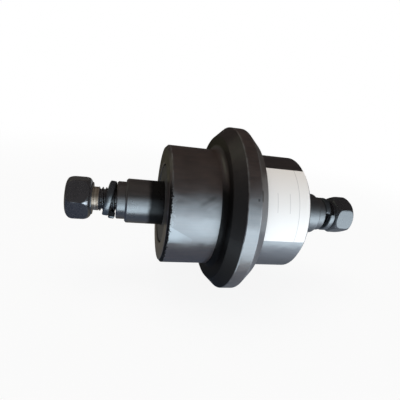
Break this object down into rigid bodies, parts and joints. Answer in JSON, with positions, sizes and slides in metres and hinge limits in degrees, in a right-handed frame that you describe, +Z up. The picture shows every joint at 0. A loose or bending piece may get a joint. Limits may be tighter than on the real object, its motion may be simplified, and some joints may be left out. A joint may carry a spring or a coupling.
{
  "type": "rubber track bottom roller",
  "caption": "Flanged bottom roller for a rubber track, turning on a fixed shaft with face seals, with a bolt and split spring washer in each shaft end.",
  "frame": {"origin": "on the spin axis, in the middle of the roller body's length, which is the centre of its flange", "axes": "+Y along the spin axis, towards the end with the label; +Z up as the roller is held in a track frame"},
  "size_m": [0.0986, 0.1807, 0.0986],
  "materials": {
    "roller_paint": "black paint on turned steel, semi-gloss",
    "shaft_paint": "black paint on ground steel, semi-gloss",
    "collar_paint": "black paint on turned steel, dull",
    "bolt_black": "black oxide and paint",
    "washer_black": "black oxide",
    "bushing_bronze": "machined bronze",
    "seal_iron": "turned, with a lapped face",
    "seal_rubber": "matt black",
    "label_film": "blank white sticker with plain ruled lines"
  },
  "bodies": {
    "shaft_body": {"shaft": "shaft_paint", "left_seal_collar": "collar_paint", "left_shaft_ring": "seal_rubber", "left_fixed_seal_ring": "seal_iron", "left_fixed_toric_ring": "seal_rubber", "right_seal_collar": "collar_paint", "right_shaft_ring": "seal_rubber", "right_fixed_seal_ring": "seal_iron", "right_fixed_toric_ring": "seal_rubber"},
    "roller_body": {"roller_shell": "roller_paint", "tread_label": "label_film", "left_bushing": "bushing_bronze", "left_turning_seal_ring": "seal_iron", "left_turning_toric_ring": "seal_rubber", "right_bushing": "bushing_bronze", "right_turning_seal_ring": "seal_iron", "right_turning_toric_ring": "seal_rubber"},
    "left_washer_body": {"left_spring_washer": "washer_black"},
    "left_bolt_body": {"left_bolt": "bolt_black"},
    "right_washer_body": {"right_spring_washer": "washer_black"},
    "right_bolt_body": {"right_bolt": "bolt_black"}
  },
  "joints": [
    {"name": "roller_spin", "type": "hinge", "parent": "shaft_body", "child": "roller_body", "pos_m": [0, 0, 0], "axis": [0, 1, 0], "continuous": true},
    {"name": "left_bolt_travel", "type": "slide", "parent": "shaft_body", "child": "left_washer_body", "axis": [0, -1, 0], "range_m": [0, 0.016]},
    {"name": "left_bolt_turn", "type": "hinge", "parent": "left_washer_body", "child": "left_bolt_body", "pos_m": [0, -0.0794, 0], "axis": [0, -1, 0], "range_deg": [0, 2880]},
    {"name": "right_bolt_travel", "type": "slide", "parent": "shaft_body", "child": "right_washer_body", "axis": [0, 1, 0], "range_m": [0, 0.022]},
    {"name": "right_bolt_turn", "type": "hinge", "parent": "right_washer_body", "child": "right_bolt_body", "pos_m": [0, 0.0734, 0], "axis": [0, 1, 0], "range_deg": [0, 3960]}
  ],
  "couplings": [
    {"joint": "left_bolt_turn", "follows": "left_bolt_travel", "rad_per_m": 3141.6},
    {"joint": "right_bolt_turn", "follows": "right_bolt_travel", "rad_per_m": 3141.6}
  ]
}
